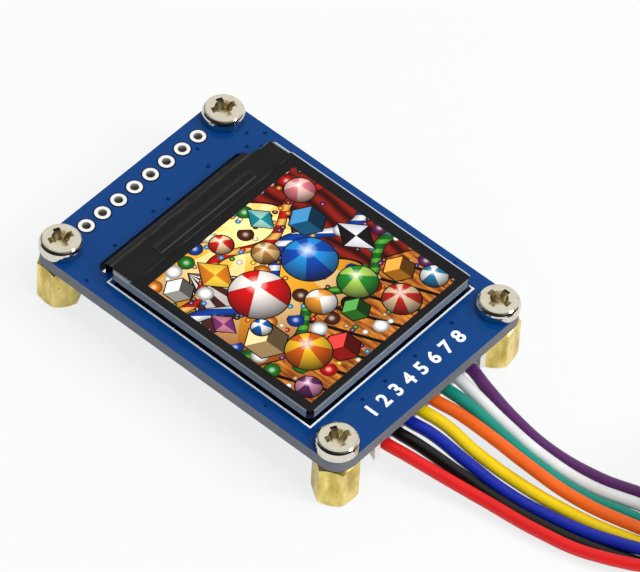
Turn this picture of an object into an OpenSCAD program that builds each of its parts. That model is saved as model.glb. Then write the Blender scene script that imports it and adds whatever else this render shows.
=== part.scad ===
/* [Circuit board] */
// Width of the board, along X
board_w = 30.5; // [29.5:0.1:36]
// Length of the board past the panel's far edge, for the slot and the row of plated holes
far_band = 9.35; // [9.2:0.05:12]
// Thickness of the board
board_t = 1.6; // [1:0.1:2.4]
// Radius of the board's corners
board_r = 2.4; // [0.5:0.1:3]
// Distance from the board's edges to the middle of each corner hole
corner_inset = 2.3; // [2:0.05:2.8]
// Diameter of the corner holes
corner_hole_d = 2.7; // [2.6:0.05:3]
// Length of the slot that the flex passes through
slot_l = 22.9; // [22.4:0.1:23.6]
// Width of the slot
slot_w = 1.8; // [1.5:0.1:2.2]
// Number of plated holes for a pin header
pad_count = 8; // [2:1:8]
// Pitch of the plated holes
pad_pitch = 2.54; // [2.3:0.01:2.6]
// Distance from the board's far edge to the row of plated holes
pad_inset = 2.25; // [1.8:0.05:2.8]
// Diameter of the tinned rings
pad_d = 1.84; // [1.5:0.01:2]
// Diameter of the plated holes
pad_hole_d = 1.0; // [0.8:0.05:1.1]

/* [Screws and standoffs] */
// Height of the standoffs under the board
standoff_h = 6; // [5.6:0.1:10]
// Width of the hexagon across its flats
standoff_af = 4.5; // [4:0.1:5]
// Bore of the standoffs, tapped M2.5
thread_bore_d = 2.05; // [2:0.01:2.2]
// Diameter of the screw heads
head_d = 4.8; // [4:0.1:5]
// Height of the screw heads
head_h = 1.7; // [1.5:0.1:2.2]
// Diameter of the screws' shanks
shank_d = 2.4; // [2.2:0.05:2.5]
// Length of the screws under their heads
screw_l = 4.2; // [3:0.1:5]

/* [Display panel] */
// Width of the glass and of the backlight frame
panel_w = 25.9; // [24.6:0.1:26.2]
// Length of the glass and of the backlight frame
panel_l = 28.7; // [28:0.1:29]
// Distance from the board's middle to the panel's middle, along X
panel_x = 0; // [-0.4:0.1:0.4]
// Distance from the board's near edge to the panel's near edge
panel_inset = 6.15; // [5.6:0.05:6.4]
// Side of the square picture area
picture_w = 23.4; // [22:0.1:23.6]
// Thickness of the foam tape under the panel
foam_t = 0.8; // [0.1:0.05:1]
// Height of the backlight frame
frame_h = 0.72; // [0.72:0.01:1.2]
// Wall of the backlight frame
frame_wall = 0.7; // [0.4:0.05:0.9]
// Thickness of the light guide
guide_t = 0.45; // [0.4:0.01:0.47]
// Thickness of one sheet of glass
glass_t = 0.2; // [0.2:0.01:0.5]
// Thickness of the front polariser
polariser_t = 0.1; // [0.08:0.01:0.2]
// Width of the rear glass left bare for the driver chip
ledge_l = 2.7; // [2.5:0.05:2.9]
// Length of the driver chip
chip_l = 15; // [8:0.1:17]
// Thickness of the driver chip
chip_t = 0.3; // [0.26:0.01:0.34]

/* [Tape and flex] */
// Thickness of the light shield tape
tape_t = 0.06; // [0.04:0.01:0.1]
// Width of the flex
flex_w = 21.2; // [19:0.1:21.6]
// Thickness of the flex
flex_t = 0.12; // [0.08:0.01:0.2]
// Width of the flex's soldered end under the board
flex_end_w = 11; // [8:0.5:16]
// Radius of the bend over the panel's edge
flex_bend_r = 1; // [0.8:0.05:1.1]

/* [Wire connector] */
// Number of wires
wire_count = 8; // [8:1:8]
// Pitch of the contacts
contact_pitch = 2; // [1.9:0.05:2.05]
// Width of the header's housing
header_w = 17.9; // [17.4:0.1:18.6]
// Depth of the header's housing, without its ears
header_depth = 6.4; // [6:0.1:7]
// Height of the header's housing
header_h = 4.4; // [4:0.1:5]
// Width of the plug
plug_w = 15.9; // [15.7:0.05:16.1]
// Height of the plug
plug_h = 3.2; // [2.8:0.05:3.2]
// Width of the square contact pins
pin_w = 0.5; // [0.4:0.02:0.6]

/* [Wires] */
// Outer diameter of a wire
wire_d = 1.4; // [1.3:0.02:1.4]
// Radius of the coil, at the middle of its turns
coil_r = 8.4; // [8.4:0.1:8.6]
// Side of a single-pin socket
socket_w = 2.54; // [2.4:0.02:2.6]
// Length of a single-pin socket
socket_l = 14; // [12:0.5:16]

/* [Hidden] */
$fn = 48;

// Heights, from the surface that the standoffs stand on
board_top = standoff_h + board_t;
frame_z = board_top + foam_t;
rim_tape_t = 0.05;
rear_glass_z = frame_z + frame_h + rim_tape_t;
ledge_z = rear_glass_z + glass_t;
cell_gap = 0.03;
front_glass_z = ledge_z + cell_gap;
polariser_z = front_glass_z + glass_t;
panel_top = polariser_z + polariser_t;

// The panel's outline
board_l = panel_inset + panel_l + far_band;
panel_near = -board_l / 2 + panel_inset;
panel_far = panel_near + panel_l;
panel_mid_y = (panel_near + panel_far) / 2;
panel_corner = 0.5;
front_glass_far = panel_far - ledge_l;
polariser_edge = 0.1;
polariser_far = front_glass_far - 0.25;
seal_inset = 0.3;
seal_w = 0.5;
window_w = panel_w - 2 * frame_wall;
window_l = panel_l - 2 * frame_wall;
film_gap = 0.1;
lip_t = 0.08;
reflector_t = 0.06;
foam_inset = 0.9;

// The corner holes and the row of plated holes
corner_x = board_w / 2 - corner_inset;
corner_y = board_l / 2 - corner_inset;
corners = [for (x = [-corner_x, corner_x], y = [-corner_y, corner_y]) [x, y]];
pad_y = board_l / 2 - pad_inset;
pad_x = [for (i = [0 : pad_count - 1]) (i - (pad_count - 1) / 2) * pad_pitch];
plating = 0.1;
pad_t = 0.05;

// The slot lies just past the panel's far edge
slot_y = panel_far + 1.5;
slot_x = panel_x - 0.95;

// How far each screw and each standoff is turned, and the recess of the screws
screw_turn = [-26, -24, 0, -24];
standoff_turn = [-3, 26, 9, 3];
recess_w = 3.1;
recess_bar = 0.78;
recess_depth = 1.3;
head_edge_r = 0.75;
head_dome = 0.18;
screw_tip = board_top - screw_l;
mouth_r = thread_bore_d / 2 + 0.3;
standoff_foot_r = standoff_af / 2 - 0.25;

// The flex leaves the ledge, bends down through the slot and back under the board
flex_x = slot_x - 0.35;
flex_start = panel_far - 1;
flex_mid_z = ledge_z + flex_t / 2;
flex_drop_y = slot_y - 0.2;
flex_turn_r = 0.4;
flex_under_z = standoff_h - flex_t / 2;
flex_wide_y = panel_far - 1.4;
flex_narrow_y = flex_wide_y - 1.6;
flex_end_y = flex_narrow_y - 3.1;
flex_bend = [flex_drop_y - flex_bend_r, flex_mid_z - flex_bend_r];

// The driver chip lies on the ledge, under the tape
chip_w = 0.8;
chip_x = panel_x;
chip_y = front_glass_far + 0.65;
tape_lap = 0.45;
tape_inset = 0.45;
tape_shoulder_x = flex_x + flex_w / 2 + 0.1;
tape_shoulder_l = 1.6;
tape_end_z = board_top - 0.9;

// The header's housing hangs under the near edge, and the plug sits in it
header_front = -board_l / 2 + 2.3;
header_ear = 1.9;
ear_rise = 1.6;
header_wall = 0.5;
ear_w = (header_w - plug_w) / 2 - 0.15;
contact_z = standoff_h - header_h / 2 + 0.2;
cavity_depth = 5.2;
plug_gap = 0.1;
plug_back = header_front - 0.8;
plug_nose = header_front + cavity_depth - plug_gap;
contact_x = [for (i = [0 : wire_count - 1]) (i - (wire_count - 1) / 2) * contact_pitch];
pin_tip = plug_back + 1.6;
pin_back = header_front + header_depth;
pin_foot_l = 1.3;
tab_set = 3;
tab_l = 2.4;
tab_h = 2.4;
contact_w = 1.4;
channel_w = 1.5;

// Eight wires lie round each other in the coil, one of them in the middle
ring_r = wire_d / (2 * sin(180 / 7));
bundle_r = ring_r + wire_d / 2;
coil_x = 16;
coil_y = -57.5;
coil_turns = 2;
coil_rise = 4.9;
coil_h = coil_turns * coil_rise + 2 * bundle_r;
tie_t = 0.45;
tie_w = 2.6;
tie_turn = 95;

// Where each wire runs: from the plug to the coil, and from the coil to its socket
wire_lead = [
    [[-7, 0, 4], [-6.4, -24, 3.6], [-5.2, -28.5, 2.5], [-4.1, -33.5, 1.7],
     [-3.2, -39.5, 1.4], [-1.8, -45.5, 1.5], [4.3, -57.3, 2.8]],
    [[-5, 0, 4], [-4.5, -24, 3.6], [-3.6, -28.5, 2.3], [-2.7, -33.5, 1],
     [-1.9, -39.5, 0.7], [-0.4, -45.5, 0.7], [4.5, -56.2, 0.9]],
    [[-3, 0, 4], [-2.4, -24, 3.6], [-1.9, -28.5, 2.3], [-1.3, -33.5, 1],
     [-0.4, -39.5, 0.7], [1, -45.5, 1.3], [4.7, -54.9, 2.4]],
    [[-1, 0, 4], [-0.5, -24, 3.6], [-0.3, -28.5, 2.4], [0.4, -33.5, 1.2],
     [1.2, -39.5, 0.7], [2.5, -45.5, 0.7], [5.3, -53.7, 0.8]],
    [[1, 0, 4], [1.5, -24, 3.8], [1.7, -28.5, 3.5], [1.9, -33.5, 2.8],
     [2.5, -39.5, 1.9], [3.8, -45.5, 1.7], [5.5, -52.7, 2.6]],
    [[3, 0, 4], [3.1, -24, 3.9], [3.1, -28.5, 3], [3.2, -33.5, 2],
     [4, -39.5, 0.7], [5.5, -45.5, 0.7], [6.4, -51.5, 0.8]],
    [[5, 0, 4], [4.8, -24, 3.6], [4.6, -28.5, 2.6], [4.7, -33.5, 1.6],
     [5.5, -39.5, 0.8], [7.1, -45.5, 1.2], [6.9, -50.8, 2.7]],
    [[7, 0, 4], [6.4, -24, 3.6], [6, -28.5, 2.3], [6.1, -33.5, 1.2],
     [7, -39.5, 0.7], [8.7, -45.5, 0.7], [8, -49.6, 1.2]]
];
wire_tail = [
    [[9.2, -66.9, 12.9], [9.3, -74.5, 7.2], [6.8, -82, 1.3]],
    [[8.5, -66.4, 11.2], [8.1, -74, 5.4], [4.1, -82, 1.3]],
    [[10.6, -67.7, 11.7], [11.4, -74.6, 6.1], [12.2, -82, 1.3]],
    [[9.9, -67.2, 10], [10.1, -74.2, 4.6], [9.5, -82, 1.3]],
    [[10.9, -68, 13.4], [12.6, -75.2, 7.7], [14.9, -82, 1.3]],
    [[12, -68.2, 10.1], [13.8, -74.6, 4.8], [17.6, -82, 1.3]],
    [[12.6, -68.5, 12.5], [15.3, -75, 6.9], [20.3, -82, 1.3]],
    [[13.8, -68.6, 11], [17, -74.8, 5.2], [23, -82, 1.3]]
];
wire_colour = ["red", "#1a1a1a", "blue", "gold", "orangered", "teal", "whitesmoke", "indigo"];

// Flat plate with rounded corners, standing on its own base
module rounded_plate(w, l, t, r) {
    translate([-w / 2 + r, -l / 2, 0]) cube([w - 2 * r, l, t]);
    translate([-w / 2, -l / 2 + r, 0]) cube([w, l - 2 * r, t]);
    for (x = [-1, 1], y = [-1, 1])
        translate([x * (w / 2 - r), y * (l / 2 - r), 0]) cylinder(h = t, r = r);
}

// Outline with its four corners cut off
module cut_corners(w, l, c) {
    polygon([
        [-w / 2 + c, -l / 2], [w / 2 - c, -l / 2], [w / 2, -l / 2 + c], [w / 2, l / 2 - c],
        [w / 2 - c, l / 2], [-w / 2 + c, l / 2], [-w / 2, l / 2 - c], [-w / 2, -l / 2 + c]
    ]);
}

// Thin sheet between two lines along Y
module sheet(w, near, far, z, t, c = 0.02) {
    translate([panel_x, (near + far) / 2, z]) linear_extrude(t) cut_corners(w, far - near, c);
}

// Profile in the Y-Z plane, extruded along X from x0 to x1
module along_x(x0, x1, points) {
    translate([x0, 0, 0]) rotate([90, 0, 90]) linear_extrude(x1 - x0) polygon(points);
}

// Points of an arc from angle a0 to angle a1
function arc(c, r, a0, a1, n = 8) =
    [for (i = [0 : n]) let (a = a0 + (a1 - a0) * i / n) [c[0] + r * cos(a), c[1] + r * sin(a)]];

module pcb() color("#1f4f96") {
    difference() {
        translate([0, 0, standoff_h]) rounded_plate(board_w, board_l, board_t, board_r);
        for (c = corners)
            translate([c[0], c[1], standoff_h - 1]) cylinder(h = board_t + 2, d = corner_hole_d);
        for (x = pad_x)
            translate([x, pad_y, standoff_h - 1])
                cylinder(h = board_t + 2, d = pad_hole_d + 2 * plating);
        for (side = [-1, 1])
            translate([slot_x + side * (slot_l - slot_w) / 2, slot_y, standoff_h - 1])
                cylinder(h = board_t + 2, d = slot_w);
        translate([slot_x - (slot_l - slot_w) / 2, slot_y - slot_w / 2, standoff_h - 1])
            cube([slot_l - slot_w, slot_w, board_t + 2]);
    }
}

// A plated hole is one turned shape: a sleeve with a tinned ring at each end
module header_pads() color("#d9d9d4") {
    hole = pad_hole_d / 2;
    for (x = pad_x)
        translate([x, pad_y, 0]) rotate_extrude() polygon([
            [hole, standoff_h - pad_t], [pad_d / 2, standoff_h - pad_t],
            [pad_d / 2, standoff_h], [hole + plating, standoff_h],
            [hole + plating, board_top], [pad_d / 2, board_top],
            [pad_d / 2, board_top + pad_t], [hole, board_top + pad_t]
        ]);
}

// Cross recess: two crossed wedges and a cone in the middle
module cross_recess() {
    for (a = [0, 90])
        rotate([0, 0, a]) translate([0, recess_bar / 2, 0]) rotate([90, 0, 0])
            linear_extrude(recess_bar) polygon([
                [-recess_w / 2 - 0.06, 0.2], [recess_w / 2 + 0.06, 0.2],
                [recess_w / 5, -recess_depth], [-recess_w / 5, -recess_depth]
            ]);
    translate([0, 0, -recess_depth]) cylinder(h = recess_depth + 0.2, r1 = 0.45, r2 = recess_w * 0.36);
}

// Pan head with a rounded edge and a low dome, on a plain shank
module corner_screws() color("#d6d2c4") {
    dome_r0 = head_d / 2 - head_edge_r * 0.87;
    shoulder_z = board_top + head_h - head_dome;
    for (i = [0 : 3])
        translate([corners[i][0], corners[i][1], 0]) difference() {
            rotate_extrude() polygon(concat(
                [[0, screw_tip], [shank_d / 2 - 0.3, screw_tip], [shank_d / 2, screw_tip + 0.3],
                 [shank_d / 2, board_top], [head_d / 2 - 0.1, board_top],
                 [head_d / 2, board_top + 0.1]],
                arc([head_d / 2 - head_edge_r, shoulder_z - head_edge_r], head_edge_r, 0, 75, 5),
                [for (k = [4 : -1 : 0])
                    let (r = dome_r0 * k / 5) [r, shoulder_z + head_dome * (1 - pow(r / dome_r0, 2))]]
            ));
            translate([0, 0, board_top + head_h]) rotate([0, 0, screw_turn[i]]) cross_recess();
        }
}

// Hexagon bar with turned chamfers at both ends. The bore is free round the screw, and below
// the screw's tip it is tapped, down to a countersunk mouth
module standoffs() color("#d9b65c") {
    corner_r = standoff_af / 2 / cos(30);
    blank_r = corner_r + 0.3;
    c = (blank_r - standoff_foot_r) * tan(38);
    thread_r = thread_bore_d / 2;
    free_r = shank_d / 2 + 0.05;
    thread_end = screw_tip - 0.1;
    for (i = [0 : 3])
        translate([corners[i][0], corners[i][1], 0]) difference() {
            intersection() {
                rotate([0, 0, standoff_turn[i]]) cylinder(h = standoff_h, r = corner_r, $fn = 6);
                rotate_extrude() polygon([
                    [0, 0], [standoff_foot_r, 0], [blank_r, c],
                    [blank_r, standoff_h - c], [standoff_foot_r, standoff_h], [0, standoff_h]
                ]);
            }
            rotate_extrude() polygon([
                [0, -1], [mouth_r, -1], [mouth_r, 0], [thread_r, mouth_r - thread_r],
                [thread_r, thread_end], [free_r, thread_end], [free_r, standoff_h + 1], [0, standoff_h + 1]
            ]);
        }
}

module foam_tape() color("#202022")
    sheet(panel_w - 2 * foam_inset, panel_near + foam_inset, panel_far - foam_inset, board_top, foam_t);

// Moulded frame with a lip round the foot of its window, which carries the films
module backlight_frame() color("#c9cbd0") {
    lip = 0.35;
    translate([panel_x, panel_mid_y, frame_z]) difference() {
        linear_extrude(frame_h) cut_corners(panel_w, panel_l, panel_corner);
        translate([0, 0, lip_t]) linear_extrude(frame_h) square([window_w, window_l], center = true);
        translate([0, 0, -1]) linear_extrude(frame_h + 2)
            square([window_w - 2 * lip, window_l - 2 * lip], center = true);
    }
}

film_w = window_w - 2 * film_gap;
film_near = panel_near + frame_wall + film_gap;
film_far = panel_far - frame_wall - film_gap;
guide_z = frame_z + lip_t + reflector_t;
led_row = 1.1;

module reflector_sheet() color("white")
    sheet(film_w, film_near, film_far, frame_z + lip_t, reflector_t);

// The guide has a shallow notch for each lamp in its far edge
module light_guide() color("#e8eef2") {
    far = film_far - led_row;
    difference() {
        sheet(film_w, film_near, far, guide_z, guide_t);
        for (x = led_x)
            translate([x - led_w / 2 - 0.1, far - 0.15, guide_z - 1]) cube([led_w + 0.2, 1, guide_t + 2]);
    }
}

led_w = 3;
led_l = 0.8;
led_x = [for (i = [0 : 3]) panel_x + (i - 1.5) * film_w / 4.4];
led_y = film_far - led_row - 0.1;
strip_t = 0.08;

module led_strip() color("#c58a3a")
    sheet(film_w - 1, film_far - led_row + 0.05, film_far, guide_z, strip_t);

module backlight_leds() color("#f3e9b0")
    for (x = led_x)
        translate([x - led_w / 2, led_y, guide_z + strip_t]) cube([led_w, led_l, guide_t - strip_t]);

module diffuser_film() color("#f4f4f0")
    sheet(film_w, film_near, film_far, guide_z + guide_t, rear_glass_z - rear_polariser_t - guide_z - guide_t);

module rim_tape() color("#141416") {
    translate([panel_x, panel_mid_y, frame_z + frame_h]) linear_extrude(rim_tape_t) difference() {
        cut_corners(panel_w - 0.1, panel_l - 0.1, panel_corner);
        square([window_w, window_l], center = true);
    }
}

rear_polariser_t = 0.1;

module rear_polariser() color("#3a3f45")
    sheet(film_w, film_near, front_glass_far, rear_glass_z - rear_polariser_t, rear_polariser_t);

module rear_glass() color("#8e979c")
    sheet(panel_w, panel_near, panel_far, rear_glass_z, glass_t, panel_corner);

// Ring of sealant between the two sheets of glass
module cell_seal() color("#1d1d20") {
    near = panel_near + seal_inset;
    far = front_glass_far - seal_inset;
    translate([panel_x, (near + far) / 2, ledge_z]) linear_extrude(cell_gap) difference() {
        square([panel_w - 2 * seal_inset, far - near], center = true);
        square([panel_w - 2 * (seal_inset + seal_w), far - near - 2 * seal_w], center = true);
    }
}

// The square of liquid crystal that shows the picture
module picture_cell() color("#f2b63c") {
    near = panel_near + seal_inset + seal_w + 0.05;
    sheet(picture_w, near, near + picture_w, ledge_z, cell_gap);
}

module front_glass() color("#9aa3a8")
    sheet(panel_w, panel_near, front_glass_far, front_glass_z, glass_t, panel_corner);

module front_polariser() color("#26282a")
    sheet(panel_w - 2 * polariser_edge, panel_near + polariser_edge, polariser_far,
        polariser_z, polariser_t, 0.1);

module driver_chip() color("#3b3b3f")
    translate([chip_x - chip_l / 2, chip_y - chip_w / 2, ledge_z]) cube([chip_l, chip_w, chip_t]);

// Outline of a film of constant height that lies along a line, and may turn down at its end
function film(line, turn = []) =
    concat(line, turn, [for (i = [len(line) - 1 : -1 : 0]) line[i] + [0, tape_t]]);

// Black film that steps down from the polariser, humps over the chip, covers the flex
// and follows it down into the slot
module shield_tape() color("#242424") {
    flex_top = ledge_z + flex_t;
    chip_top = ledge_z + chip_t;
    chip_near = chip_y - chip_w / 2 - 0.04;
    chip_far = chip_y + chip_w / 2 + 0.04;
    flat_far = panel_far - 0.15;
    start = [[polariser_far - tape_lap, panel_top], [polariser_far + 0.02, panel_top],
        [polariser_far + 0.1, polariser_z], [front_glass_far + 0.02, polariser_z]];
    plain = concat(start, [[flex_start - 0.05, flex_top]]);
    humped = concat(start, [[chip_near, chip_top], [chip_far, chip_top], [flex_start - 0.05, flex_top]]);
    r = flex_bend_r + flex_t / 2 + 0.01;
    turn = concat(
        arc(flex_bend, r, 90, 0), [[flex_bend[0] + r, tape_end_z], [flex_bend[0] + r + tape_t, tape_end_z]],
        arc(flex_bend, r + tape_t, 0, 90));
    half_turn = concat(arc(flex_bend, r, 90, 40, 4), arc(flex_bend, r + tape_t, 40, 90, 4));
    left = panel_x - panel_w / 2 + tape_inset;
    flex_left = flex_x - flex_w / 2 - 0.05;
    right = panel_x + panel_w / 2 - tape_inset;
    hump = [chip_x - chip_l / 2 - 0.1, chip_x + chip_l / 2 + 0.1];
    along_x(left, flex_left, film(plain, half_turn));
    along_x(flex_left, hump[0], film(plain, turn));
    along_x(hump[0], hump[1], film(humped, turn));
    along_x(hump[1], tape_shoulder_x, film(plain, turn));
    along_x(tape_shoulder_x, right, film(concat(plain, [[flat_far, flex_top]])));
    translate([tape_shoulder_x, 0, flex_top]) linear_extrude(tape_t) polygon([
        [0, flat_far - 0.2], [tape_shoulder_l, flat_far - 0.2], [tape_shoulder_l, flat_far],
        [0, flex_bend[0]]
    ]);
}

// One bent strip: along the ledge, down through the slot, back under the board
module flex_tail() color("#2b2420") {
    h = flex_t / 2;
    turn = [flex_drop_y - flex_turn_r, flex_under_z + flex_turn_r];
    strip_end = flex_wide_y + 0.8;
    outer = concat([[flex_start, flex_mid_z + h]], arc(flex_bend, flex_bend_r + h, 90, 0),
        arc(turn, flex_turn_r + h, 0, -90), [[strip_end, flex_under_z - h]]);
    inner = concat([[strip_end, flex_under_z + h]], arc(turn, flex_turn_r - h, -90, 0),
        arc(flex_bend, flex_bend_r - h, 0, 90), [[flex_start, flex_mid_z - h]]);
    along_x(flex_x - flex_w / 2, flex_x + flex_w / 2, concat(outer, inner));
    translate([flex_x, 0, flex_under_z - h]) linear_extrude(flex_t) polygon([
        [-flex_w / 2, strip_end], [-flex_w / 2, flex_wide_y],
        [-flex_end_w / 2, flex_narrow_y], [-flex_end_w / 2, flex_end_y],
        [flex_end_w / 2, flex_end_y], [flex_end_w / 2, flex_narrow_y],
        [flex_w / 2, flex_wide_y], [flex_w / 2, strip_end]
    ]);
}

// Side-entry housing: a shell open at the near side, with two ears that guide the plug
module header_housing() color("#f2f0e8") {
    bottom = standoff_h - header_h;
    ear_y = header_front - header_ear;
    ear_z = bottom + 1.4;
    mouth_w = plug_w + 2 * plug_gap;
    mouth_h = plug_h + 2 * plug_gap;
    difference() {
        union() {
            translate([-header_w / 2, header_front, bottom]) cube([header_w, header_depth, header_h]);
            for (side = [0, 1]) mirror([side, 0, 0])
                along_x(header_w / 2 - ear_w, header_w / 2, [
                    [header_front + 0.5, ear_z + ear_rise], [ear_y + ear_rise, ear_z + ear_rise],
                    [ear_y, ear_z], [ear_y, standoff_h - 0.1], [header_front + 0.5, standoff_h - 0.1]
                ]);
        }
        translate([-mouth_w / 2, header_front - 2, contact_z - mouth_h / 2])
            cube([mouth_w, cavity_depth + 2, mouth_h]);
        for (x = contact_x)
            translate([x - pin_w / 2, header_front + 1, contact_z - pin_w / 2])
                cube([pin_w, header_depth, pin_w]);
        for (side = [-1, 1])
            translate([side * plug_w / 3 - 1, header_front + 1.2, bottom - 1]) cube([2, 2.2, 2]);
        translate([-header_w / 2 + 2, header_front + cavity_depth + 0.5, bottom - 1])
            cube([header_w - 4, 2, 1.6]);
    }
}

// Square pins, bent up behind the housing to lie on the board's underside
module header_pins() color("#d8d4c8") {
    h = pin_w / 2;
    bend = pin_back + 0.5;
    for (x = contact_x)
        along_x(x - h, x + h, [
            [pin_tip, contact_z - h + 0.12], [pin_tip + 0.3, contact_z - h],
            [bend + h, contact_z - h], [bend + h, standoff_h - pin_w / 2],
            [bend + pin_foot_l, standoff_h - pin_w / 2], [bend + pin_foot_l, standoff_h],
            [bend - h, standoff_h], [bend - h, contact_z + h],
            [pin_tip + 0.3, contact_z + h], [pin_tip, contact_z + h - 0.12]
        ]);
}

module header_tabs() color("#d8d4c8") {
    tab_y = header_front + tab_set;
    for (side = [0, 1]) mirror([side, 0, 0]) {
        translate([header_w / 2, tab_y, standoff_h - tab_h]) cube([0.25, tab_l, tab_h]);
        translate([header_w / 2, tab_y, standoff_h - 0.25]) cube([1, tab_l, 0.25]);
    }
}

// Plug: a block with a channel for each contact and a window under each catch
module plug_housing() color("#f4f2ea") {
    h = plug_h / 2;
    difference() {
        along_x(-plug_w / 2, plug_w / 2, [
            [plug_back, contact_z - h], [plug_nose - 0.4, contact_z - h],
            [plug_nose, contact_z - h + 0.4], [plug_nose, contact_z + h - 0.4],
            [plug_nose - 0.4, contact_z + h], [plug_back, contact_z + h]
        ]);
        for (x = contact_x) {
            translate([x - channel_w / 2, plug_back - 1, contact_z - channel_w / 2])
                cube([channel_w, plug_nose - plug_back + 0.5, channel_w]);
            translate([x - pin_w / 2 - 0.1, plug_nose - 1, contact_z - pin_w / 2 - 0.1])
                cube([pin_w + 0.2, 2, pin_w + 0.2]);
            translate([x - 0.5, plug_back + 1.5, contact_z - h - 1]) cube([1, 1.4, 2]);
        }
    }
}

// Folded box contact with its crimped neck
module crimp_contact(l) {
    box_l = l - 1;
    difference() {
        union() {
            translate([0, box_l / 2, 0]) cube([contact_w, box_l, contact_w], center = true);
            translate([-0.4, -1, -0.4]) cube([0.8, 1.2, 0.8]);
        }
        translate([-pin_w / 2 - 0.1, 0.6, -pin_w / 2 - 0.1]) cube([pin_w + 0.2, box_l, pin_w + 0.2]);
    }
}

module plug_contacts() color("#cfc9b8")
    for (x = contact_x)
        translate([x, plug_back + 1, contact_z]) crimp_contact(plug_nose - plug_back - 1);

// A small moulded body under the board, with its legs lying on the board
module gull_wing_part(w, l, h, legs_near, legs_far) {
    leg_w = 0.4;
    translate([0, 0, standoff_h - h]) {
        translate([-w / 2, -l / 2, 0]) cube([w, l, h - 0.1]);
        for (far = [0, 1]) {
            row = far == 1 ? legs_far : legs_near;
            mirror([0, far, 0]) for (x = row)
                along_x(x - leg_w / 2, x + leg_w / 2, [
                    [-l / 2 + 0.1, h / 2 - 0.08], [-l / 2 - 0.35, h / 2 - 0.08],
                    [-l / 2 - 0.35, h - 0.16], [-l / 2 - 0.75, h - 0.16],
                    [-l / 2 - 0.75, h], [-l / 2 - 0.19, h],
                    [-l / 2 - 0.19, h / 2 + 0.08], [-l / 2 + 0.1, h / 2 + 0.08]
                ]);
        }
    }
}

module regulator() color("#2c2c2e")
    translate([-7, -4, 0]) gull_wing_part(2.9, 1.6, 1.15, [-0.95, 0, 0.95], [-0.95, 0.95]);

module transistor() color("#2c2c2e")
    translate([8.5, -5, 0]) gull_wing_part(2.9, 1.3, 1, [-0.95, 0.95], [0]);

// Chip parts under the board: [x, y, turned]
resistor_at = [[-2.5, 3.5, 0], [0, 3.5, 0], [2.5, 3.5, 0], [5, 3.5, 0],
    [9.8, -1.2, 1], [7.4, -1.2, 1], [-11.4, 2, 1], [-3.2, -7.6, 0]];
capacitor_at = [[-10.4, -4, 1], [-3.6, -3.6, 1], [-7, -0.4, 0], [11.8, 5.5, 1], [1.8, -7.6, 0]];

module chip_parts(places, l, w, h)
    for (p = places)
        translate([p[0], p[1], standoff_h - h / 2]) rotate([0, 0, 90 * p[2]])
            cube([l, w, h], center = true);

module resistors() color("#2a2a2c") chip_parts(resistor_at, 1.6, 0.8, 0.45);

module capacitors() color("#b08a5c") chip_parts(capacitor_at, 1.6, 0.8, 0.8);

// Round tube swept through points: each ring lies across the line through its neighbours,
// but the end that meets a housing is square to it
function unit(v) = v / norm(v);
function heading(p, i) = unit(p[min(i + 1, len(p) - 1)] - p[max(i - 1, 0)]);
function ring(p, i, sides, h) =
    let (a = unit(cross(h, [0, 0, 1])), b = cross(a, h))
    [for (k = [0 : sides - 1])
        p[i] + wire_d / 2 * (cos(360 * (k + 0.5) / sides) * a + sin(360 * (k + 0.5) / sides) * b)];

module wire_tube(p, square_end, sides = 8) {
    n = len(p);
    points = [for (i = [0 : n - 1])
        each ring(p, i, sides, i == square_end ? [0, -1, 0] : heading(p, i))];
    walls = [for (i = [0 : n - 2], k = [0 : sides - 1]) let (next = (k + 1) % sides)
        each [[i * sides + k, i * sides + next, (i + 1) * sides + k],
              [i * sides + next, (i + 1) * sides + next, (i + 1) * sides + k]]];
    ends = [[for (k = [sides - 1 : -1 : 0]) k],
        [for (k = [0 : sides - 1]) (n - 1) * sides + k]];
    polyhedron(points, concat(walls, ends));
}

// The lead starts at the plug's back, square to it
function lead(i) = [for (k = [0 : 6])
    k == 0 ? [contact_x[i], plug_back, contact_z] : wire_lead[i][k]];

module wire(i) color(wire_colour[i - 1]) {
    wire_tube(lead(i - 1), 0);
    wire_tube(wire_tail[i - 1], 2);
}

// Single-pin socket, lying on one side, its catch window upwards
socket_z = socket_w / 2;
function socket_at(i) = let (p = wire_tail[i - 1][2]) [p[0], p[1], socket_z];

module socket(i) color("#1c1c1e")
    translate(socket_at(i)) difference() {
        translate([-socket_w / 2, -socket_l, -socket_w / 2]) cube([socket_w, socket_l, socket_w]);
        translate([-channel_w / 2 - 0.1, 1 - socket_l, -channel_w / 2 - 0.1])
            cube([channel_w + 0.2, socket_l, channel_w + 0.2]);
        translate([-0.4, -socket_l - 1, -0.4]) cube([0.8, 3, 0.8]);
        translate([-0.6, 3.3 - socket_l, 0]) cube([1.2, 3.2, 3]);
    }

module socket_contacts() color("#cfc9b8")
    for (i = [1 : wire_count])
        translate(socket_at(i) - [0, 1, 0]) rotate([0, 0, 180]) crimp_contact(socket_l - 2.6);

// Section of the coil: a stadium, standing on the floor, set back by some amount all round
module coil_section(back = 0)
    translate([coil_r, 0]) polygon(concat(
        arc([0, coil_h - bundle_r], bundle_r - back, 0, 180, 12),
        arc([0, bundle_r], bundle_r - back, 180, 360, 12)));

// The part of the coil's skin that the tie takes up
module tie_band() {
    angle = tie_w / coil_r * 180 / PI;
    rotate([0, 0, tie_turn - angle / 2]) rotate_extrude(angle = angle) difference() {
        coil_section();
        coil_section(tie_t);
    }
}

module wire_coil() color("#6a5a70")
    translate([coil_x, coil_y, 0]) difference() {
        rotate_extrude() coil_section();
        tie_band();
    }

module coil_tie() color("#151515") translate([coil_x, coil_y, 0]) tie_band();

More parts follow.
